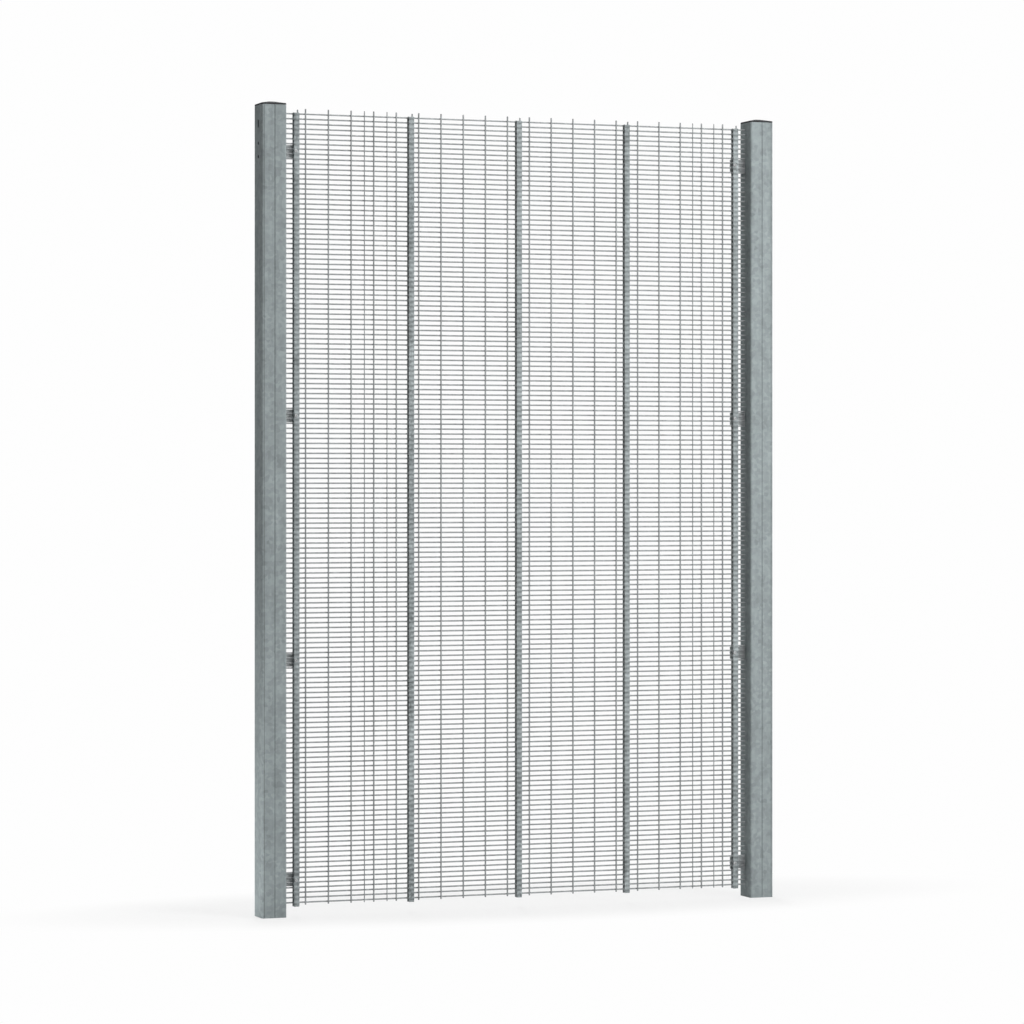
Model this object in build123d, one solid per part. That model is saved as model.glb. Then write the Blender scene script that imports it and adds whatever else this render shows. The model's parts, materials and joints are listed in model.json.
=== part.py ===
from build123d import *
import math
import os

# One bay of anti-climb fence: two capped box-section posts and a close-pitch welded mesh between them.
# Pairs of flat bars stiffen the mesh, and angle brackets bolt its end bars to the posts.
# Millimetres. +X runs along the fence, +Y to the back, +Z up. The origin is on the ground, midway.

# Mesh: level wires, with upright wires in front of them
wire_dia = 4.0
wire_sides = 8
row_pitch = 12.7
first_row_height = 34.0
row_end_gap = 2.5
upright_pitch = 61.0
upright_shift = -5.5
upright_above = 13.0
upright_below = 6.0

# Thinner upright wires that halve some gaps, counted in pitches from the end bar on each side
infill_dia = 2.6
infill_counts = {"left": (3, 4), "right": (1, 2)}

# Stiffeners: a flat bar in front of the mesh and one behind it, with a wire between them
bay_count = 4
pitches_per_bay = 5
bar_width = 15.0
bar_thick = 3.0
bar_above = 2.5
bar_below = 10.0
bar_wire_above = 10.5

# How far the inner stiffeners stand from even spacing in the photograph, counted from the left end bar
bar_shifts = {1: 3.7, 2: -4.8, 3: -6.7}

# Posts, which stand clear of the end bars and reach at least so far above the top wire
post_height = 2060.0
post_width = 65.0
post_depth = 70.0
post_wall = 3.0
post_corner = 5.0
post_above = 19.0
post_gap = 33.5
panel_lead = 12.5
groove_width = 5.0
groove_depth = 1.2

# Fixing holes for a topping arm, in the outer wall near the top of each post
arm_hole_dia = 10.0
arm_hole_pitch = 34.0
arm_hole_drop = 97.0
arm_slot_width = 10.0
arm_slot_length = 21.0
arm_slot_drop = 47.0

# Post caps
cap_rim = 4.3
cap_rise = 5.0
cap_shoulder = 3.5
cap_flat = 18.0
plug_depth = 24.0
plug_wall = 2.4
plug_gap = 0.2

# Brackets, each centred on the gap between two level wires at a share of the mesh's height
clamp_shares = (0.03, 0.31, 0.62, 0.953)
bracket_height = 32.0
bracket_thick = 4.0
bracket_leg = 28.0
bracket_past_bar = 9.0
bracket_root = 4.0

# Bolts and nuts through the end bars
panel_bolt_dia = 6.0
panel_bolt_shift = -2.5
panel_bolt_tail = 2.0
panel_head_dia = 10.0
panel_head_height = 3.3
panel_nut_across = 10.0
panel_nut_height = 5.0
bolt_wire_gap = 0.7

# Bolts into the posts, and the threaded inserts that take them
post_bolt_dia = 8.0
post_bolt_setback = 16.0
post_head_across = 13.0
post_head_height = 5.3
insert_dia = 11.0
insert_length = 15.0
insert_collar_dia = 14.0
insert_collar_height = 4.0

# Fits, and the number of sides on the small round pieces
hole_gap = 0.3
thread_gap = 0.05
round_sides = 12

# Places across the fence
sides = {"left": -1, "right": 1}
bay_width = pitches_per_bay * upright_pitch
bar_places = [(i - bay_count / 2) * bay_width + bar_shifts.get(i, 0) for i in range(bay_count + 1)]
end_bars = {"left": bar_places[0], "right": bar_places[-1]}
inner_face = bar_places[-1] + post_gap
post_middle = inner_face + post_width / 2
bar_wire_shift = panel_bolt_shift + panel_bolt_dia / 2 + hole_gap + bolt_wire_gap + wire_dia / 2

# Places from front to back
bar_front = -panel_lead
row_front = bar_front + bar_thick + wire_dia
rear_bar_front = row_front + wire_dia
bracket_front = rear_bar_front + bar_thick
bracket_back = bracket_front + bracket_thick
post_bolt_y = bracket_front + post_bolt_setback

# Heights: as many level wires as the posts leave room for
row_count = int((post_height - post_above - first_row_height) / row_pitch) + 1
last_row_height = first_row_height + (row_count - 1) * row_pitch
clamp_rows = [int(share * (row_count - 1)) for share in clamp_shares]
clamp_heights = [first_row_height + (row + 0.5) * row_pitch for row in clamp_rows]


def facing(direction, x, y, z):
    """A drawing plane at a point, whose normal points along X or Y."""
    along = {"x": (1, 0, 0), "y": (0, 1, 0)}[direction]
    across = {"x": (0, 1, 0), "y": (1, 0, 0)}[direction]
    return Plane(origin=(x, y, z), x_dir=across, z_dir=along)


def prism(plane, sketch, length):
    """A sketch on a plane, pushed along the plane's normal."""
    return extrude(plane * sketch, amount=length)


def disc(diameter):
    """A small round outline with few sides, for the fasteners and their holes."""
    return RegularPolygon(diameter / 2, round_sides, major_radius=False)


def hexagon(across):
    """A nut's or bolt head's outline, by its size across flats."""
    return RegularPolygon(across / 2, 6, major_radius=False, rotation=180 / 6)


def wire_outline(diameter):
    """A wire's outline, with flats where it is welded to the wires that cross it."""
    return RegularPolygon(diameter / 2, wire_sides, major_radius=False, rotation=180 / wire_sides)


def group(solids):
    """Equal pieces kept together as separate solids."""
    return Compound(children=list(solids))


def post_section():
    """Box section with rounded corners and a groove rolled into its front and back."""
    radius = (groove_width**2 / 4 + groove_depth**2) / (2 * groove_depth)
    centre = post_depth / 2 + radius - groove_depth
    bore_corner = max(post_corner - post_wall, post_wall / 3)
    outside = RectangleRounded(post_width, post_depth, post_corner)
    bore = RectangleRounded(post_width - 2 * post_wall, post_depth - 2 * post_wall, bore_corner)
    for face in (-1, 1):
        outside -= Pos(0, face * centre) * Circle(radius)
        bore -= Pos(0, face * (centre - post_wall)) * Circle(radius)
    return outside - bore


def make_post(side):
    """A post, with the topping arm's holes in its outer wall and the insert holes in its inner wall."""
    sign = sides[side]
    post = Pos(sign * post_middle, 0, 0) * extrude(post_section(), amount=post_height)
    outer_wall = sign * (inner_face + post_width - post_wall / 2) - post_wall
    inner_wall = sign * (inner_face + post_wall / 2) - post_wall
    for drop in (arm_hole_drop, arm_hole_drop + arm_hole_pitch):
        plane = facing("x", outer_wall, 0, post_height - drop)
        post -= prism(plane, Circle(arm_hole_dia / 2), 2 * post_wall)
    plane = facing("x", outer_wall, 0, post_height - arm_slot_drop)
    post -= prism(plane, SlotOverall(arm_slot_length, arm_slot_width, rotation=90), 2 * post_wall)
    for height in clamp_heights:
        plane = facing("x", inner_wall, post_bolt_y, height)
        post -= prism(plane, disc(insert_dia), 2 * post_wall)
    return post


def plug_outline(inset):
    """The outline of a cap's plug, which clears the bore's corners and the back of the grooves."""
    width = post_width - 2 * (post_wall + plug_gap + inset)
    depth = post_depth - 2 * (post_wall + groove_depth + plug_gap + inset)
    return chamfer(Rectangle(width, depth).vertices(), post_corner)


def make_cap(side):
    """A push-in cap: a rim flush with the post, a low hipped top, and a hollow plug inside the post."""
    foot_width = post_width - 2 * cap_shoulder
    foot_depth = post_depth - 2 * cap_shoulder
    slope = math.degrees(math.atan2((foot_width - cap_flat) / 2, cap_rise))
    rim = extrude(RectangleRounded(post_width, post_depth, post_corner), amount=cap_rim)
    top = Pos(0, 0, cap_rim) * extrude(Rectangle(foot_width, foot_depth), amount=cap_rise, taper=slope)
    plug = extrude(plug_outline(0) - plug_outline(plug_wall), amount=-plug_depth)
    cap = rim + top + plug
    return Pos(sides[side] * post_middle, 0, post_height) * cap


def level_wire(height):
    """One level wire, which ends just short of the posts."""
    half = inner_face - row_end_gap
    plane = facing("x", -half, row_front + wire_dia / 2, height)
    return prism(plane, wire_outline(wire_dia), 2 * half)


def upright_wire(x, diameter, above=upright_above):
    """One upright wire, which lies against the front of the level wires and ends above the top one."""
    bottom = first_row_height - upright_below
    top = last_row_height + above
    return Pos(x, row_front - diameter / 2, bottom) * extrude(wire_outline(diameter), amount=top - bottom)


def make_level_wires():
    """All the level wires, evenly spaced from the lowest one up."""
    return group(level_wire(first_row_height + i * row_pitch) for i in range(row_count))


def make_upright_wires():
    """The regular upright wires, about half a pitch from the bars."""
    first = bar_places[0] + upright_pitch / 2 + upright_shift
    count = bay_count * pitches_per_bay
    return group(upright_wire(first + i * upright_pitch, wire_dia) for i in range(count))


def make_bar_wires():
    """The upright wire that each pair of bars closes on."""
    return group(upright_wire(x + bar_wire_shift, wire_dia, bar_wire_above) for x in bar_places)


def make_infill_wires():
    """The thinner upright wires between the regular ones."""
    wires = []
    for side, counts in infill_counts.items():
        for count in counts:
            x = end_bars[side] - sides[side] * count * upright_pitch
            wires.append(upright_wire(x, infill_dia))
    return group(wires)


def make_bar(x, front):
    """A flat bar over the full height of the mesh, drilled at the brackets if it is an end bar."""
    bottom = first_row_height - bar_below
    height = last_row_height + bar_above - bottom
    bar = Pos(x, front + bar_thick / 2, bottom + height / 2) * Box(bar_width, bar_thick, height)
    if x in end_bars.values():
        for clamp in clamp_heights:
            plane = facing("y", x + panel_bolt_shift, front - bar_thick / 2, clamp)
            bar -= prism(plane, disc(panel_bolt_dia + 2 * hole_gap), 2 * bar_thick)
    return bar


def angle_section():
    """The brackets' rolled angle, its outer corner at the origin and its inner corner rounded."""
    reach = post_gap + bracket_past_bar
    panel_leg = Pos(-reach / 2, bracket_thick / 2) * Rectangle(reach, bracket_thick)
    post_leg = Pos(-bracket_thick / 2, bracket_leg / 2) * Rectangle(bracket_thick, bracket_leg)
    angle = panel_leg + post_leg
    root = angle.vertices().sort_by_distance((-bracket_thick, bracket_thick, 0))[0]
    return fillet(root, bracket_root)


def make_bracket(side, height):
    """A length of angle: one leg behind the end bar, the other flat against the post's inner face."""
    sign = sides[side]
    angle = extrude(angle_section(), amount=bracket_height)
    if side == "left":
        angle = mirror(angle, about=Plane.YZ)
    angle = Pos(sign * inner_face, bracket_front, height - bracket_height / 2) * angle
    bolt_x = end_bars[side] + panel_bolt_shift
    plane = facing("y", bolt_x, bracket_front - bracket_thick / 2, height)
    angle -= prism(plane, disc(panel_bolt_dia + 2 * hole_gap), 2 * bracket_thick)
    leg_middle = sign * (inner_face - bracket_thick / 2)
    plane = facing("x", leg_middle - bracket_thick, post_bolt_y, height)
    return angle - prism(plane, disc(post_bolt_dia + 2 * hole_gap), 2 * bracket_thick)


def panel_bolt(side, height):
    """A dome-headed bolt that passes between the wires, from the front bar to behind the bracket."""
    bolt_x = end_bars[side] + panel_bolt_shift
    seat = facing("y", bolt_x, bar_front, height)
    top = facing("y", bolt_x, bar_front - panel_head_height, height)
    head = loft([top * disc(panel_head_dia / 2), seat * disc(panel_head_dia)])
    length = bracket_back + panel_nut_height + panel_bolt_tail - bar_front
    return head + prism(seat, disc(panel_bolt_dia), length)


def panel_nut(side, height):
    """The nut on a panel bolt, seated on the back of the bracket."""
    plane = facing("y", end_bars[side] + panel_bolt_shift, bracket_back, height)
    nut = hexagon(panel_nut_across) - disc(panel_bolt_dia + 2 * thread_gap)
    return prism(plane, nut, panel_nut_height)


def post_bolt(side, height):
    """A hexagon bolt through the bracket's post leg into the insert."""
    sign = sides[side]
    seat = facing("x", sign * (inner_face - bracket_thick), post_bolt_y, height)
    shank = prism(seat, disc(post_bolt_dia), sign * (bracket_thick + insert_length))
    return shank + prism(seat, hexagon(post_head_across), -sign * post_head_height)


def post_insert(side, height):
    """A blind threaded insert set in the post's inner wall, its collar drawn up behind the wall."""
    sign = sides[side]
    front = facing("x", sign * inner_face, post_bolt_y, height)
    behind = facing("x", sign * (inner_face + post_wall), post_bolt_y, height)
    bore = disc(post_bolt_dia + 2 * thread_gap)
    body = prism(front, disc(insert_dia) - bore, sign * insert_length)
    return body + prism(behind, disc(insert_collar_dia) - bore, sign * insert_collar_height)


def at_clamps(make_piece):
    """One piece at every bracket."""
    return group(make_piece(side, height) for side in sides for height in clamp_heights)


def make_parts():
    """Every node by name."""
    parts = {}
    for side in sides:
        parts[f"{side}_post"] = make_post(side)
        parts[f"{side}_post_cap"] = make_cap(side)
        for number, height in enumerate(clamp_heights, 1):
            parts[f"{side}_bracket_{number}"] = make_bracket(side, height)
    for number, x in enumerate(bar_places, 1):
        parts[f"front_bar_{number}"] = make_bar(x, bar_front)
        parts[f"rear_bar_{number}"] = make_bar(x, rear_bar_front)
    parts["level_wires"] = make_level_wires()
    parts["upright_wires"] = make_upright_wires()
    parts["bar_wires"] = make_bar_wires()
    parts["infill_wires"] = make_infill_wires()
    parts["panel_bolts"] = at_clamps(panel_bolt)
    parts["panel_nuts"] = at_clamps(panel_nut)
    parts["post_bolts"] = at_clamps(post_bolt)
    parts["post_inserts"] = at_clamps(post_insert)
    return parts


os.makedirs("parts", exist_ok=True)
for name, shape in make_parts().items():
    export_step(shape, f"parts/{name}.step")
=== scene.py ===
import json
import math

import bmesh
import bpy
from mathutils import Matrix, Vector


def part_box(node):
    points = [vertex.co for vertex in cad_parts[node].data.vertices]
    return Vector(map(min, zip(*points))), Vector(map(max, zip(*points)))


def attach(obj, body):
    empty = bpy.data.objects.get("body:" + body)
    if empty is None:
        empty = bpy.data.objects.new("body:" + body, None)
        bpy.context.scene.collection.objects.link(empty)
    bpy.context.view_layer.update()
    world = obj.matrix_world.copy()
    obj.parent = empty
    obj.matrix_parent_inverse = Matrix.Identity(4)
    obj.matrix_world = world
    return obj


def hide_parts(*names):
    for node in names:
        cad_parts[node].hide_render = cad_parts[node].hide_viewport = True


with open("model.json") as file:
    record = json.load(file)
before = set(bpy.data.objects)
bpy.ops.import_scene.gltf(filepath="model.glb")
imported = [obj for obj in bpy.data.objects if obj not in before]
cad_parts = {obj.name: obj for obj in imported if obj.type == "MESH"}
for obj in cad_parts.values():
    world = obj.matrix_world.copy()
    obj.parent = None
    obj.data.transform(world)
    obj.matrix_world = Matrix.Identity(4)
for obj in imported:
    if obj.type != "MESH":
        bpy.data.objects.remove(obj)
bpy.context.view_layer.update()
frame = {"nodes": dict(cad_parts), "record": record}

# Sizes are in metres and colours are linear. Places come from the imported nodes.

# Axes of a place, by number
ACROSS = 0
UP = 2

# Camera, solved from the photograph: pixels are of its square frame, with y down
FRAME_PIXELS = 1024
FOCAL_PIXELS = 3752
HORIZON_PIXEL = 484.3
SENSOR_MM = 36
CAMERA_YAW = math.radians(20.65)
CAMERA_PLACE = (-3.462, -9.1315, 1.098)

# Edges whose faces meet at more than these angles look sharp
CREASE = math.radians(35)
BAR_CREASE = math.radians(24)
BEAD_CREASE = math.radians(80)

# Wires: points round them, and the rounding of their cut ends
WIRE_SIDES = 14
WIRE_END_ROUND = 0.0006

# Flat bars: rolled edges, and a slight swelling of the outer face round the weld of each level wire
BAR_EDGE_ROUND = 0.0013
BAR_EDGE_STEPS = 4
BAR_END_ROUND = 0.0004
WELD_SWELL = 0.0014
WELD_REACH = 0.0058
WELD_STEPS = 4

# Beads of weld metal where the level wires pass between the bars, at both edges of the bars
BEAD_HALF_WIDTH = 0.0028
BEAD_HALF_HEIGHT = 0.0036
BEAD_INSET = 0.0012
BEAD_LAP = 0.0030
BEAD_SIDES = 10
BEAD_RINGS = 7

# Fasteners: points round them, and a gap that is smaller than the space between two of them
TURN_STEPS = 48
FASTENER_GAP = 0.02

# Bolts through the bars: shank, dome, hexagon socket with a wide mouth and a narrowed end, and thread
PANEL_SHANK = 0.006
DOME_ANGLE = math.radians(62)
DOME_STEPS = 6
SOCKET_ACROSS = 0.004
SOCKET_DEPTH = 0.002
SOCKET_MOUTH_ACROSS = 0.0044
SOCKET_MOUTH_DEPTH = 0.0002
SOCKET_END_RADIUS = 0.0008
SOCKET_END_DEPTH = 0.0024
THREAD_PITCH = 0.001
THREAD_DEPTH = 0.0004

# Nuts of those bolts, and bolts into the posts
NUT_CHAMFER = 0.0007
JOIN_DISTANCE = 1e-7
POST_SHANK = 0.008
BRACKET_THICK = 0.004
BOLT_CHAMFER = 0.0009
WASHER_FACE = 0.0005

# Radii of nuts and hexagon heads, as shares of their width across flats
WASHER_SHARE = 0.47
HEAD_FACE_SHARE = 0.49
NUT_FACE_SHARE = 0.5
HEAD_BACK_SHARE = 0.55
HEX_CORNER_SHARE = 0.575

# Post caps, and the corner that they share with the posts
POST_CORNER = 0.005
POST_CORNER_STEPS = 8
CAP_SHOULDER = 0.0035
CAP_WALL = 0.0024
CAP_EDGE_ROUND = 0.0012

# A cap's profile from its rim on the post to its flat top. Each point has a place to start from, then how
# far inward and how far up from there it lies, in edge rounds.
CAP_PROFILE = (
    ("rim", 0.3, 0.0),
    ("rim", 0.0, 0.3),
    ("edge", 0.0, -1.0),
    ("edge", 0.3, -0.35),
    ("edge", 1.0, 0.0),
    ("shoulder", -1.0, 0.1),
    ("shoulder", 1.0, 0.5),
    ("flat", -2.0, -0.6),
    ("flat", 0.0, -0.2),
    ("flat", 2.0, 0.0),
)

# Zinc: the scale, detail and roughness of its noises, and the share of each layer in its tone
CLOUD_NOISE = (22.0, 4.0, 0.55)
RUN_NOISE = (1.0, 3.0, 0.5)
RUN_STRETCH = (55.0, 55.0, 3.5)
GRAIN_NOISE = (900.0, 2.0, 0.6)
CRYSTAL_SHARE = 0.30
CLOUD_SHARE = 0.55
RUN_SHARE = 0.35
GRAIN_SHARE = 0.15

# The sums of those layers that are darkest and lightest, and the sums of crystal and cloud that are least
# and most rough, with how far these go below and above a finish's own roughness
TONE_SUMS = (0.38, 0.98)
ROUGH_SUMS = (0.2, 1.4)
ROUGH_SPREAD = (-0.08, 0.10)

# Relief and sheen of the zinc. The relief is its clouds, with a share of its grain.
ZINC_BUMP = {"Strength": 0.25, "Distance": 0.0006}
BUMP_GRAIN_SHARE = 0.4
ZINC_SHEEN = 0.015

# Painted shade in the posts' recesses, which darkens them between two depths down to a share of the light
RECESS_DEPTHS = (0.0004, 0.0030)
RECESS_SHADE = 0.45

# A dark line painted down each post's outer front corner: its distance from the outer face, and its share
# of light
CORNER_LINE_INSET = 0.0056
CORNER_LINE_HALF_WIDTH = 0.0010
CORNER_LINE_SHADE = 0.25

# Painted shade on the bars, strongest a share of the row pitch below each weld, with painted light above
# it, and a noise that moves them
WELD_SHADE_DROP = 0.3
WELD_SHADE_DEPTH = 0.18
WELD_SHADE_NOISE = (130.0, 3.0, 0.5)
WELD_SHADE_WANDER = 5.0
NOISE_MIDDLE = 0.5

# Caps' plastic: noises as for zinc, the amounts of dust that give each colour and roughness, and relief
DUST_NOISE = (60.0, 4.0, 0.6)
PLASTIC_GRAIN_NOISE = (1400.0, 2.0, 0.5)
PLASTIC_COLOURS = ((0.3, (0.036, 0.037, 0.039)), (0.75, (0.062, 0.063, 0.066)))
PLASTIC_ROUGH_DUST = (0.3, 0.7)
PLASTIC_ROUGHNESS = (0.72, 0.88)
PLASTIC_BUMP = {"Strength": 0.2, "Distance": 0.0002}
PLASTIC_SHEEN = 0.015

# Light: each lamp has a place, what it points at, a width, a power in watts and a spread in degrees
WHITE = (1.0, 1.0, 1.0, 1.0)
AMBIENT = 0.045
BACKGROUND = 0.99
LAMPS = {
    "key": ((2.5, -4.2, 2.7), (0.3, 0.0, 1.9), 2.6, 88.0, 120),
    "fill": ((-0.4, -6.0, 1.6), (0.0, 0.0, 1.3), 2.0, 26.0, 120),
    "top": ((0.0, 0.0, 4.6), (0.0, 0.0, 0.0), 2.6, 23.0, 90),
    "back": ((0.8, 4.6, 5.0), (0.0, 0.0, 1.0), 2.0, 61.0, 90),
    "low": ((-2.8, 0.0, 0.2), (-0.7, 0.0, 0.1), 0.3, 1.5, 45),
    "left": ((-4.5, 0.0, 1.4), (-0.7, 0.0, 1.4), 0.05, 7.2, 90),
    "right": ((4.5, 0.0, 1.4), (0.7, 0.0, 1.4), 0.05, 7.2, 90),
}

# Floor: where it is seen, it is partly white within an ellipse round the fence. It fades from there, and
# is wholly white beyond an ellipse that is larger by the fade.
FLOOR_SIZE = 80.0
FLOOR_COLOUR = (0.70, 0.70, 0.70, 1.0)
FLOOR_WHITE_SHARE = 0.75
FLOOR_CENTRE = (0.0, 0.12, 0.0)
FLOOR_REACH = (0.75, 0.26, 1.0)
FLOOR_FADE = 2.0


def coordinates(node):
    """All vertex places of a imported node."""
    return [vertex.co.copy() for vertex in frame["nodes"][node].data.vertices]


def spans(values, gap):
    """Sorted values gathered into (lowest, highest) groups that lie more than a gap apart."""
    ordered = sorted(values)
    groups = [[ordered[0], ordered[0]]]
    for value in ordered[1:]:
        if value - groups[-1][1] > gap:
            groups.append([value, value])
        groups[-1][1] = value
    return groups


def middles(node, axis):
    """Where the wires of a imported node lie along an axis, and their radius."""
    low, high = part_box(node)
    radius = (high.y - low.y) / 2
    groups = spans([place[axis] for place in coordinates(node)], radius)
    return [(start + end) / 2 for start, end in groups], radius


def weld_rows():
    """The heights of the level wires, which are welded to the bars."""
    return middles("level_wires", UP)[0]


def bars(face):
    """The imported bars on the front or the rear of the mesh, from left to right."""
    return sorted(node for node in frame["nodes"] if node.startswith(face + "_bar_"))


def corners(places):
    """The lowest and highest corner of the box round some places."""
    low = Vector([min(place[i] for place in places) for i in range(3)])
    high = Vector([max(place[i] for place in places) for i in range(3)])
    return low, high


def finish_mesh(name, bm, material, crease=CREASE):
    """A bmesh as a named object in the scene, smooth apart from its creases."""
    bmesh.ops.recalc_face_normals(bm, faces=bm.faces)
    for face in bm.faces:
        face.smooth = True
    for edge in bm.edges:
        edge.smooth = edge.calc_face_angle(math.pi) < crease
    mesh = bpy.data.meshes.new(name)
    bm.to_mesh(mesh)
    bm.free()
    mesh.materials.append(material)
    piece = bpy.data.objects.new(name, mesh)
    bpy.context.scene.collection.objects.link(piece)
    return piece


def dress(piece, slot, *nodes):
    """A piece rides on the part and stands for its nodes, which it hides. The slot is not used."""
    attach(piece, "root")
    if nodes:
        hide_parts(*nodes)


def bridge(bm, rings, capped=True):
    """Faces between rings of equally many places, and over both ends if capped."""
    loops = [[bm.verts.new(place) for place in places] for places in rings]
    count = len(loops[0])
    for near, far in zip(loops, loops[1:]):
        for i in range(count):
            j = (i + 1) % count
            bm.faces.new((near[i], near[j], far[j], far[i]))
    if capped:
        bm.faces.new(list(reversed(loops[0])))
        bm.faces.new(loops[-1])


def ring(centre, along, radius, steps):
    """Points round an axis. The radius is a length, or a function of the angle."""
    along = Vector(along).normalized()
    upright = abs(along.z) > 0.5
    side = along.orthogonal().normalized() if upright else Vector((0, 0, 1))
    other = along.cross(side)
    points = []
    for i in range(steps):
        angle = 2 * math.pi * i / steps
        length = radius(angle) if callable(radius) else radius
        point = Vector(centre) + side * (length * math.cos(angle))
        points.append(point + other * (length * math.sin(angle)))
    return points


def rounded_rectangle(centre, width, depth, corner, height, steps):
    """Points round a level rectangle with rounded corners."""
    points = []
    for quarter, (sx, sy) in enumerate(((1, 1), (-1, 1), (-1, -1), (1, -1))):
        for step in range(steps + 1):
            angle = math.pi / 2 * (quarter + step / steps)
            x = sx * (width / 2 - corner) + corner * math.cos(angle)
            y = sy * (depth / 2 - corner) + corner * math.sin(angle)
            points.append(Vector((centre.x + x, centre.y + y, height)))
    return points


def hexagon(across, limit=None):
    """The radius of a hexagon at an angle, with its corners cut at a limit."""
    def radius(angle):
        turned = (angle + math.pi / 6) % (math.pi / 3) - math.pi / 6
        length = across / 2 / math.cos(turned)
        return min(length, limit) if limit else length
    return radius


def add_wire(bm, start, end, radius):
    """A round wire with slightly rounded cut ends."""
    start, end = Vector(start), Vector(end)
    along = (end - start).normalized()
    inner = radius - WIRE_END_ROUND
    rings = [
        ring(start, along, inner, WIRE_SIDES),
        ring(start + along * WIRE_END_ROUND, along, radius, WIRE_SIDES),
        ring(end - along * WIRE_END_ROUND, along, radius, WIRE_SIDES),
        ring(end, along, inner, WIRE_SIDES),
    ]
    bridge(bm, rings)


def make_level_wires(material):
    """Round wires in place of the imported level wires."""
    low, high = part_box("level_wires")
    y = (low.y + high.y) / 2
    heights, radius = middles("level_wires", UP)
    bm = bmesh.new()
    for z in heights:
        add_wire(bm, (low.x, y, z), (high.x, y, z), radius)
    dress(finish_mesh("round_level_wires", bm, material), "galvanised_wire", "level_wires")


def make_upright_wires(node, material):
    """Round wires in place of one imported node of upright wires."""
    low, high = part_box(node)
    y = (low.y + high.y) / 2
    places, radius = middles(node, ACROSS)
    bm = bmesh.new()
    for x in places:
        add_wire(bm, (x, y, low.z), (x, y, high.z), radius)
    dress(finish_mesh("round_" + node, bm, material), "galvanised_wire", node)


def make_bar(node, outward, material):
    """A flat bar with rolled edges in place of a packed one, swollen at the welds on its outer face."""
    low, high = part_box(node)
    middle, size = (low + high) / 2, high - low
    end = BAR_END_ROUND

    def outline(z, inset, swell):
        width, thick = size.x - 2 * inset, size.y - 2 * inset + swell
        centre = middle + Vector((0, outward * swell / 2, 0))
        return rounded_rectangle(centre, width, thick, BAR_EDGE_ROUND - inset, z, BAR_EDGE_STEPS)

    rings = [outline(low.z, end, 0), outline(low.z + end, 0, 0)]
    for row in weld_rows():
        for step in range(-WELD_STEPS, WELD_STEPS + 1):
            share = step / WELD_STEPS
            z = row + share * WELD_REACH
            if low.z + end < z < high.z - end:
                rings.append(outline(z, 0, WELD_SWELL * (1 + math.cos(math.pi * share)) / 2))
    rings += [outline(high.z - end, 0, 0), outline(high.z, end, 0)]
    bm = bmesh.new()
    bridge(bm, rings)
    dress(finish_mesh("rolled_" + node, bm, material, BAR_CREASE), "galvanised_bar", node)


def add_bead(bm, centre, half):
    """A small rounded bead of weld metal, given by its middle and half sizes."""
    rings = []
    for level in range(1, BEAD_RINGS):
        rise = math.pi * level / BEAD_RINGS
        points = []
        for i in range(BEAD_SIDES):
            angle = 2 * math.pi * i / BEAD_SIDES
            share = (math.sin(rise) * math.cos(angle), math.sin(rise) * math.sin(angle), -math.cos(rise))
            points.append(centre + Vector([size * part for size, part in zip(half, share)]))
        rings.append(points)
    bridge(bm, rings)


def make_weld_beads(material):
    """Beads between each pair of bars, on both edges, at every level wire."""
    rows = weld_rows()
    bm = bmesh.new()
    for node in bars("front"):
        low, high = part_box(node)
        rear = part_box(node.replace("front", "rear"))[0].y
        y = (high.y + rear) / 2
        half = Vector((BEAD_HALF_WIDTH, (rear - high.y) / 2 + BEAD_LAP, BEAD_HALF_HEIGHT))
        for x in (low.x + BEAD_INSET, high.x - BEAD_INSET):
            for z in rows:
                add_bead(bm, Vector((x, y, z)), half)
    dress(finish_mesh("weld_beads", bm, material, BEAD_CREASE), "galvanised_bracket")


def fastener_boxes(node):
    """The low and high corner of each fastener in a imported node."""
    places = coordinates(node)
    found = []
    for left, right in spans([place.x for place in places], FASTENER_GAP):
        column = [place for place in places if left <= place.x <= right]
        for bottom, top in spans([place.z for place in column], FASTENER_GAP):
            found.append(corners([place for place in column if bottom <= place.z <= top]))
    return found


def add_panel_bolt(bm, low, high):
    """A dome-headed bolt with a hexagon socket, and a thread behind the bracket."""
    centre = (low + high) / 2
    head = (high.x - low.x) / 2
    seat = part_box("front_bar_1")[0].y
    thread_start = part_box("panel_nuts")[0].y
    shank = PANEL_SHANK / 2
    crest, root = THREAD_PITCH / 4, THREAD_PITCH * 3 / 4

    def at(y, radius):
        return ring((centre.x, y, centre.z), (0, 1, 0), radius, TURN_STEPS)

    rings = [at(high.y, shank - THREAD_DEPTH)]
    y = high.y
    while y - THREAD_PITCH > thread_start:
        rings += [at(y - crest, shank), at(y - root, shank - THREAD_DEPTH)]
        y -= THREAD_PITCH
    rings += [at(seat, shank), at(seat, head)]
    for step in range(1, DOME_STEPS + 1):
        angle = step / DOME_STEPS * DOME_ANGLE
        rise = math.sin(angle) / math.sin(DOME_ANGLE)
        rings.append(at(seat - (seat - low.y) * rise, head * math.cos(angle)))
    rings += [
        at(low.y, hexagon(SOCKET_MOUTH_ACROSS)),
        at(low.y + SOCKET_MOUTH_DEPTH, hexagon(SOCKET_ACROSS)),
        at(low.y + SOCKET_DEPTH, hexagon(SOCKET_ACROSS)),
        at(low.y + SOCKET_END_DEPTH, SOCKET_END_RADIUS),
    ]
    bridge(bm, rings)


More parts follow.
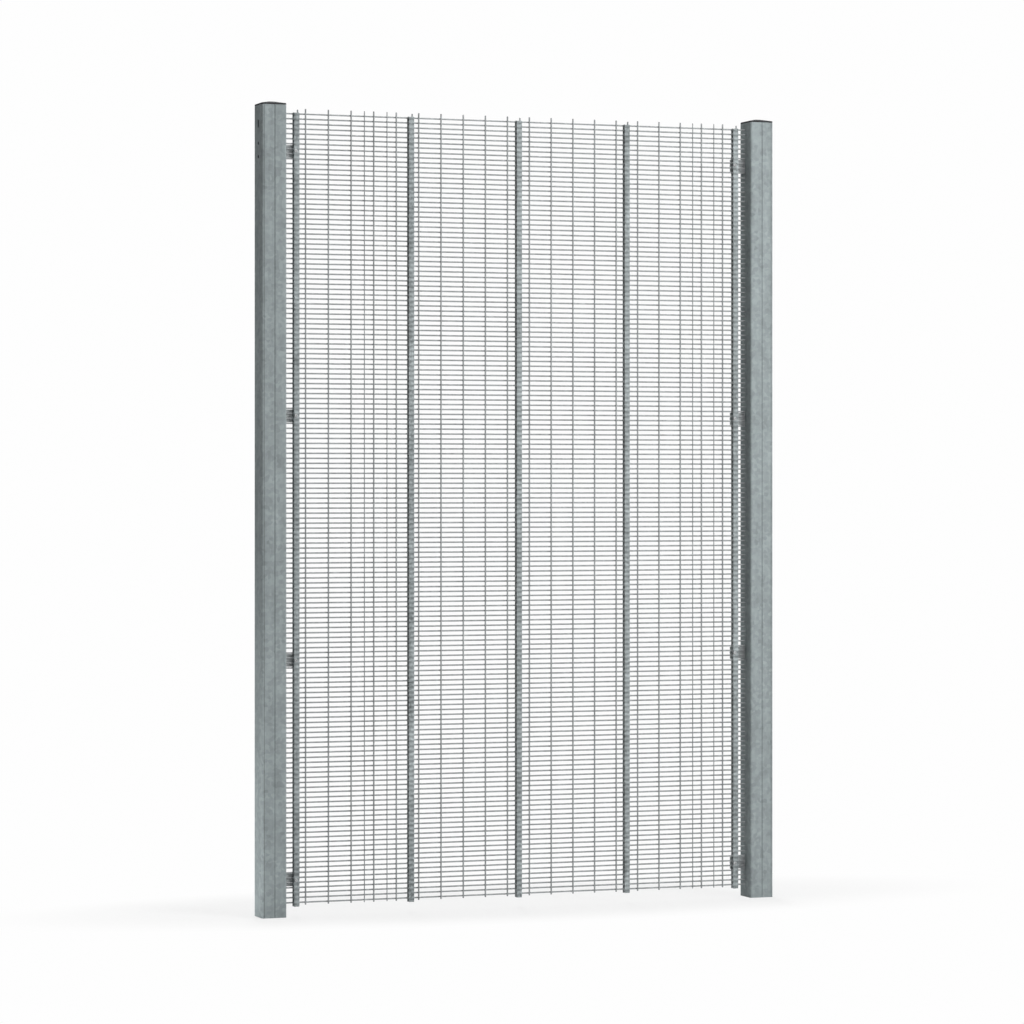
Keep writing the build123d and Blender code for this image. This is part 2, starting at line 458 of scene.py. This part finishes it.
def add_panel_nut(bm, low, high):
    """A hexagon nut with chamfered corners and a countersunk bore. Its last ring is joined to its first."""
    centre = (low + high) / 2
    across = high.x - low.x
    bore = (PANEL_SHANK - THREAD_DEPTH) / 2
    mouth = bore + NUT_CHAMFER
    face = hexagon(across, across * NUT_FACE_SHARE)
    body = hexagon(across, across * HEX_CORNER_SHARE)

    def at(y, radius):
        return ring((centre.x, y, centre.z), (0, 1, 0), radius, TURN_STEPS)

    rings = [
        at(low.y, mouth),
        at(low.y, face),
        at(low.y + NUT_CHAMFER, body),
        at(high.y - NUT_CHAMFER, body),
        at(high.y, face),
        at(high.y, mouth),
        at(high.y - NUT_CHAMFER, bore),
        at(low.y + NUT_CHAMFER, bore),
        at(low.y, mouth),
    ]
    bridge(bm, rings, capped=False)
    bmesh.ops.remove_doubles(bm, verts=bm.verts, dist=JOIN_DISTANCE)


def add_post_bolt(bm, low, high):
    """A hexagon bolt with a chamfered head and a washer face, from the end of its shank to its head."""
    y, z = (low.y + high.y) / 2, (low.z + high.z) / 2
    across = high.y - low.y
    sign = 1 if low.x > 0 else -1
    head_end, shank_end = (low.x, high.x) if sign > 0 else (high.x, low.x)
    bracket_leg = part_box("right_bracket_1")[1].x - BRACKET_THICK
    seat = sign * bracket_leg
    shank = POST_SHANK / 2
    body = hexagon(across, across * HEX_CORNER_SHARE)

    def at(x, radius):
        return ring((x, y, z), (1, 0, 0), radius, TURN_STEPS)

    rings = [
        at(shank_end, shank - BOLT_CHAMFER),
        at(shank_end - sign * BOLT_CHAMFER, shank),
        at(seat, shank),
        at(seat, across * WASHER_SHARE),
        at(seat - sign * WASHER_FACE, across * WASHER_SHARE),
        at(seat - sign * WASHER_FACE, hexagon(across, across * HEAD_BACK_SHARE)),
        at(seat - sign * 2 * WASHER_FACE, body),
        at(head_end + sign * BOLT_CHAMFER, body),
        at(head_end, hexagon(across, across * HEAD_FACE_SHARE)),
    ]
    bridge(bm, rings)


def make_fasteners(name, node, add_fastener, material):
    """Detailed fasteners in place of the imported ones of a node."""
    bm = bmesh.new()
    for low, high in fastener_boxes(node):
        add_fastener(bm, low, high)
    dress(finish_mesh(name, bm, material), "zinc_fastener", node)


def make_cap(side, material):
    """A moulded cap with softened edges and a hollow plug in place of a packed one."""
    node = side + "_post_cap"
    low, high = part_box(node)
    centre, size = (low + high) / 2, high - low
    post_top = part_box(side + "_post")[1].z
    places = coordinates(node)
    soft = CAP_EDGE_ROUND
    shoulder = max(place.z for place in places if place.z < high.z - soft)
    flat_low, flat_high = corners([place for place in places if place.z > high.z - soft])
    flat_inset = (size.x - (flat_high.x - flat_low.x)) / 2
    plug_low, plug_high = corners([place for place in places if place.z < low.z + soft])
    plug = plug_high - plug_low

    def outline(whole, inset, height):
        width, depth = whole.x - 2 * inset, whole.y - 2 * inset
        return rounded_rectangle(centre, width, depth, POST_CORNER, height, POST_CORNER_STEPS)

    rings = [
        outline(plug, CAP_WALL, post_top),
        outline(plug, CAP_WALL, low.z),
        outline(plug, 0, low.z),
        outline(plug, 0, post_top),
    ]
    starts = {
        "rim": (0, post_top),
        "edge": (0, shoulder),
        "shoulder": (CAP_SHOULDER, shoulder),
        "flat": (flat_inset, high.z),
    }
    for start, inward, up in CAP_PROFILE:
        inset, height = starts[start]
        rings.append(outline(size, inset + inward * soft, height + up * soft))
    bm = bmesh.new()
    bridge(bm, rings)
    dress(finish_mesh("moulded_" + node, bm, material), "black_plastic", node)


class Nodes:
    """A short way to build the node tree of a material or a world."""

    def __init__(self, owner):
        self.owner = bpy.data.materials.new(owner) if isinstance(owner, str) else owner
        self.owner.use_nodes = True
        self.tree = self.owner.node_tree
        self.tree.nodes.clear()

    def add(self, kind, links=(), **settings):
        """A node whose sockets are linked to other nodes' outputs, or set to plain values."""
        node = self.tree.nodes.new(kind)
        for key, value in settings.items():
            setattr(node, key, value)
        for socket, source in dict(links).items():
            if isinstance(source, bpy.types.NodeSocket):
                self.tree.links.new(source, node.inputs[socket])
            else:
                node.inputs[socket].default_value = source
        return node

    def math(self, operation, first, second=0.0):
        """One operation on numbers."""
        return self.add("ShaderNodeMath", {0: first, 1: second}, operation=operation).outputs[0]

    def vector(self, operation, first, second=(0.0, 0.0, 0.0)):
        """One operation on vectors, which gives a number if it is the length."""
        node = self.add("ShaderNodeVectorMath", {0: first, 1: second}, operation=operation)
        return node.outputs["Value" if operation == "LENGTH" else "Vector"]

    def total(self, *layers):
        """The sum of some values, each times its share."""
        parts = [self.math("MULTIPLY", value, share) for value, share in layers]
        total = parts[0]
        for part in parts[1:]:
            total = self.math("ADD", total, part)
        return total

    def noise(self, place, scale, detail, rough):
        """Soft noise, from 0 to 1."""
        links = {"Vector": place, "Scale": scale, "Detail": detail, "Roughness": rough}
        return self.add("ShaderNodeTexNoise", links).outputs["Fac"]

    def remap(self, value, low, high, to_low, to_high, kind="LINEAR"):
        """A value taken from one range to another, and kept inside it."""
        links = {"Value": value, "From Min": low, "From Max": high, "To Min": to_low, "To Max": to_high}
        return self.add("ShaderNodeMapRange", links, interpolation_type=kind).outputs["Result"]

    def ramp(self, factor, stops):
        """A colour between stops, each a position and its colour."""
        node = self.add("ShaderNodeValToRGB", {"Fac": factor})
        elements = node.color_ramp.elements
        while len(elements) < len(stops):
            elements.new(0.5)
        for element, (position, colour) in zip(elements, stops):
            element.position = position
            element.color = (*colour, 1.0)
        return node.outputs["Color"]

    def output(self, shader):
        """The finished material."""
        self.add("ShaderNodeOutputMaterial", {"Surface": shader})
        return self.owner


def post_depth(n, place):
    """How deep a point lies under a post's outside: zero on it, more in grooves, holes and the bore."""
    low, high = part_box("right_post")
    half = (high - low) / 2
    middle = (low.x + high.x) / 2
    both = n.vector("MULTIPLY", n.vector("ABSOLUTE", place), (1, 1, 0))
    inside = n.vector("ABSOLUTE", n.vector("SUBTRACT", both, (middle, 0, 0)))
    past = n.vector("SUBTRACT", inside, (half.x - POST_CORNER, half.y - POST_CORNER, 0))
    past = n.vector("LENGTH", n.vector("MAXIMUM", past))
    return n.math("SUBTRACT", POST_CORNER, past)


def post_corner_line(n, place):
    """One, but less along a dark line painted down the outer front corner of each post."""
    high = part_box("right_post")[1]
    x, y, _ = n.add("ShaderNodeSeparateXYZ", {0: place}).outputs
    away = n.math("ABSOLUTE", n.math("SUBTRACT", n.math("ABSOLUTE", x), high.x - CORNER_LINE_INSET))
    line = n.remap(away, 0.0, CORNER_LINE_HALF_WIDTH, CORNER_LINE_SHADE, 1.0)
    return n.math("MAXIMUM", line, n.math("GREATER_THAN", y, 0.0))


def post_shading(n, place):
    """A factor on a post's zinc colour: painted shade in its recesses, and less along the dark line down
    its corner.
    """
    # Painted shade: recesses darker with depth
    painted_recess_shade = n.remap(post_depth(n, place), *RECESS_DEPTHS, 1.0, RECESS_SHADE)
    return n.math("MULTIPLY", painted_recess_shade, post_corner_line(n, place))


def weld_shading(n, place):
    """A factor on a bar's zinc colour: painted shade just under each weld and painted light above it, as on
    a swelling lit from above.
    """
    rows = weld_rows()
    pitch = (rows[-1] - rows[0]) / (len(rows) - 1)
    z = n.add("ShaderNodeSeparateXYZ", {0: place}).outputs["Z"]
    turn = n.math("MULTIPLY", n.math("SUBTRACT", z, rows[0] - WELD_SHADE_DROP * pitch), 2 * math.pi / pitch)
    noise = n.math("SUBTRACT", n.noise(place, *WELD_SHADE_NOISE), NOISE_MIDDLE)
    wave = n.math("COSINE", n.math("ADD", turn, n.math("MULTIPLY", noise, WELD_SHADE_WANDER)))
    # Painted light above each weld and painted shade below it
    return n.remap(wave, -1.0, 1.0, 1.0 + WELD_SHADE_DEPTH, 1.0 - WELD_SHADE_DEPTH)


def galvanised(name, colour, contrast, spangle, metallic, roughness, shading=None):
    """Hot-dipped zinc: crystal spangle, cloudy patches, faint runs down the steel and a fine grain."""
    n = Nodes(name)
    place = n.add("ShaderNodeTexCoord").outputs["Object"]
    crystal = n.add("ShaderNodeTexVoronoi", {"Vector": place, "Scale": 1 / spangle})
    crystal = n.add("ShaderNodeRGBToBW", {"Color": crystal.outputs["Color"]}).outputs[0]
    cloud = n.noise(place, *CLOUD_NOISE)
    stretched = n.add("ShaderNodeMapping", {"Vector": place, "Scale": RUN_STRETCH})
    run = n.noise(stretched.outputs["Vector"], *RUN_NOISE)
    grain = n.noise(place, *GRAIN_NOISE)
    tone = n.total((crystal, CRYSTAL_SHARE), (cloud, CLOUD_SHARE), (run, RUN_SHARE), (grain, GRAIN_SHARE))
    dark = [channel * (1 - contrast) for channel in colour]
    light = [channel * (1 + contrast) for channel in colour]
    shade = n.ramp(n.remap(tone, *TONE_SUMS, 0.0, 1.0), [(0.0, dark), (0.5, colour), (1.0, light)])
    # A shading factor, where given, paints shade into the colour, and on the bars light as well
    if shading:
        links = {0: shade, "Scale": shading(n, place)}
        shade = n.add("ShaderNodeVectorMath", links, operation="SCALE").outputs[0]
    smoothest, roughest = [roughness + change for change in ROUGH_SPREAD]
    rough = n.remap(n.math("ADD", crystal, cloud), *ROUGH_SUMS, smoothest, roughest)
    height = n.total((grain, BUMP_GRAIN_SHARE), (cloud, 1.0))
    bump = n.add("ShaderNodeBump", {"Height": height, **ZINC_BUMP})
    shader = n.add("ShaderNodeBsdfPrincipled", {
        "Base Color": shade, "Roughness": rough, "Normal": bump.outputs["Normal"], "Metallic": metallic,
        "Specular IOR Level": ZINC_SHEEN,
    })
    return n.output(shader.outputs[0])


def black_plastic(name):
    """Moulded plastic: dark, with a fine texture and dusty patches."""
    n = Nodes(name)
    place = n.add("ShaderNodeTexCoord").outputs["Object"]
    dust = n.noise(place, *DUST_NOISE)
    grain = n.noise(place, *PLASTIC_GRAIN_NOISE)
    colour = n.ramp(dust, PLASTIC_COLOURS)
    rough = n.remap(dust, *PLASTIC_ROUGH_DUST, *PLASTIC_ROUGHNESS)
    bump = n.add("ShaderNodeBump", {"Height": grain, **PLASTIC_BUMP})
    shader = n.add("ShaderNodeBsdfPrincipled", {
        "Base Color": colour, "Roughness": rough, "Normal": bump.outputs["Normal"],
        "Specular IOR Level": PLASTIC_SHEEN,
    })
    return n.output(shader.outputs[0])


def seen_directly(n):
    """One for rays from the camera, mirrors and glass, and zero for light that only illuminates."""
    path = n.add("ShaderNodeLightPath")
    direct = n.math("ADD", path.outputs["Is Camera Ray"], path.outputs["Is Glossy Ray"])
    direct = n.math("ADD", direct, path.outputs["Is Transmission Ray"])
    return n.math("MINIMUM", direct, 1.0)


def make_floor():
    """A pale floor that keeps the shadow near the fence and fades into the background."""
    n = Nodes("pale_floor")
    place = n.add("ShaderNodeTexCoord").outputs["Object"]
    reach = n.vector("LENGTH", n.vector("DIVIDE", n.vector("SUBTRACT", place, FLOOR_CENTRE), FLOOR_REACH))
    fade = n.remap(reach, 1.0, FLOOR_FADE, FLOOR_WHITE_SHARE, 1.0, "SMOOTHSTEP")
    pale = n.add("ShaderNodeBsdfDiffuse", {"Color": FLOOR_COLOUR}).outputs[0]
    white = n.add("ShaderNodeEmission", {"Color": WHITE, "Strength": BACKGROUND}).outputs[0]
    share = n.math("MULTIPLY", fade, seen_directly(n))
    shader = n.add("ShaderNodeMixShader", {0: share, 1: pale, 2: white}).outputs[0]
    bm = bmesh.new()
    bmesh.ops.create_grid(bm, x_segments=1, y_segments=1, size=FLOOR_SIZE / 2)
    finish_mesh("floor", bm, n.output(shader))


def make_world():
    """Even light all round, and white where it is seen directly."""
    world = bpy.data.worlds.new("studio")
    n = Nodes(world)
    strength = n.remap(seen_directly(n), 0.0, 1.0, AMBIENT, BACKGROUND)
    background = n.add("ShaderNodeBackground", {"Color": WHITE, "Strength": strength})
    n.add("ShaderNodeOutputWorld", {"Surface": background.outputs[0]})
    bpy.context.scene.world = world


def make_lamps():
    """Round lamps, each with a spread that keeps most of its light on the fence."""
    for name, (place, aim, width, power, spread) in LAMPS.items():
        lamp = bpy.data.lights.new(name, "AREA")
        lamp.shape = "DISK"
        lamp.size = width
        lamp.energy = power
        lamp.spread = math.radians(spread)
        lamp_object = bpy.data.objects.new(name, lamp)
        lamp_object.location = place
        lamp_object.rotation_euler = (Vector(aim) - Vector(place)).to_track_quat("-Z", "Y").to_euler()
        bpy.context.scene.collection.objects.link(lamp_object)


def make_camera():
    """A level camera at the photograph's place, shifted to put the horizon where it is there."""
    data = bpy.data.cameras.new("camera")
    data.sensor_width = SENSOR_MM
    data.lens = SENSOR_MM * FOCAL_PIXELS / FRAME_PIXELS
    data.shift_y = (HORIZON_PIXEL - FRAME_PIXELS / 2) / FRAME_PIXELS
    camera = bpy.data.objects.new("camera", data)
    camera.location = CAMERA_PLACE
    camera.rotation_euler = (math.pi / 2, 0, -CAMERA_YAW)
    bpy.context.scene.collection.objects.link(camera)
    bpy.context.scene.camera = camera


# Materials, one for each slot of the record. The spangle is the size of a crystal of zinc.
materials = {
    "galvanised_post": galvanised(
        "galvanised_post_steel", colour=(0.304, 0.344, 0.350), contrast=0.28, spangle=0.009,
        metallic=0.02, roughness=0.6, shading=post_shading,
    ),
    "galvanised_bar": galvanised(
        "galvanised_bar_steel", colour=(0.298, 0.328, 0.334), contrast=0.45, spangle=0.006,
        metallic=0.05, roughness=0.55, shading=weld_shading,
    ),
    "galvanised_wire": galvanised(
        "galvanised_wire_steel", colour=(0.330, 0.345, 0.350), contrast=0.30, spangle=0.004,
        metallic=0.12, roughness=0.45,
    ),
    # The bracket zinc is a lighter copy: painted light, so that brackets and weld beads read lit where
    # wires and bars shade them
    "galvanised_bracket": galvanised(
        "galvanised_bracket_steel", colour=(0.370, 0.390, 0.395), contrast=0.35, spangle=0.006,
        metallic=0.05, roughness=0.55,
    ),
    "zinc_fastener": galvanised(
        "zinc_plate", colour=(0.400, 0.412, 0.418), contrast=0.22, spangle=0.003,
        metallic=0.40, roughness=0.42,
    ),
    "black_plastic": black_plastic("cap_plastic"),
}
for subpart in frame["record"]["subparts"]:
    for material_slot in frame["nodes"][subpart["node"]].material_slots:
        material_slot.material = materials[subpart["material_slot"]]

# Pieces
make_level_wires(materials["galvanised_wire"])
for node in ("upright_wires", "bar_wires", "infill_wires"):
    make_upright_wires(node, materials["galvanised_wire"])
for face, outward in (("front", -1), ("rear", 1)):
    for node in bars(face):
        make_bar(node, outward, materials["galvanised_bar"])
# Weld beads take the lighter bracket zinc: painted light inside the shaded gap between the bars
make_weld_beads(materials["galvanised_bracket"])
for side in ("left", "right"):
    make_cap(side, materials["black_plastic"])
make_fasteners("domed_panel_bolts", "panel_bolts", add_panel_bolt, materials["zinc_fastener"])
make_fasteners("chamfered_panel_nuts", "panel_nuts", add_panel_nut, materials["zinc_fastener"])
make_fasteners("chamfered_post_bolts", "post_bolts", add_post_bolt, materials["zinc_fastener"])

# Studio
make_floor()
make_world()
make_lamps()
make_camera()
bpy.context.scene.view_settings.view_transform = "Standard"
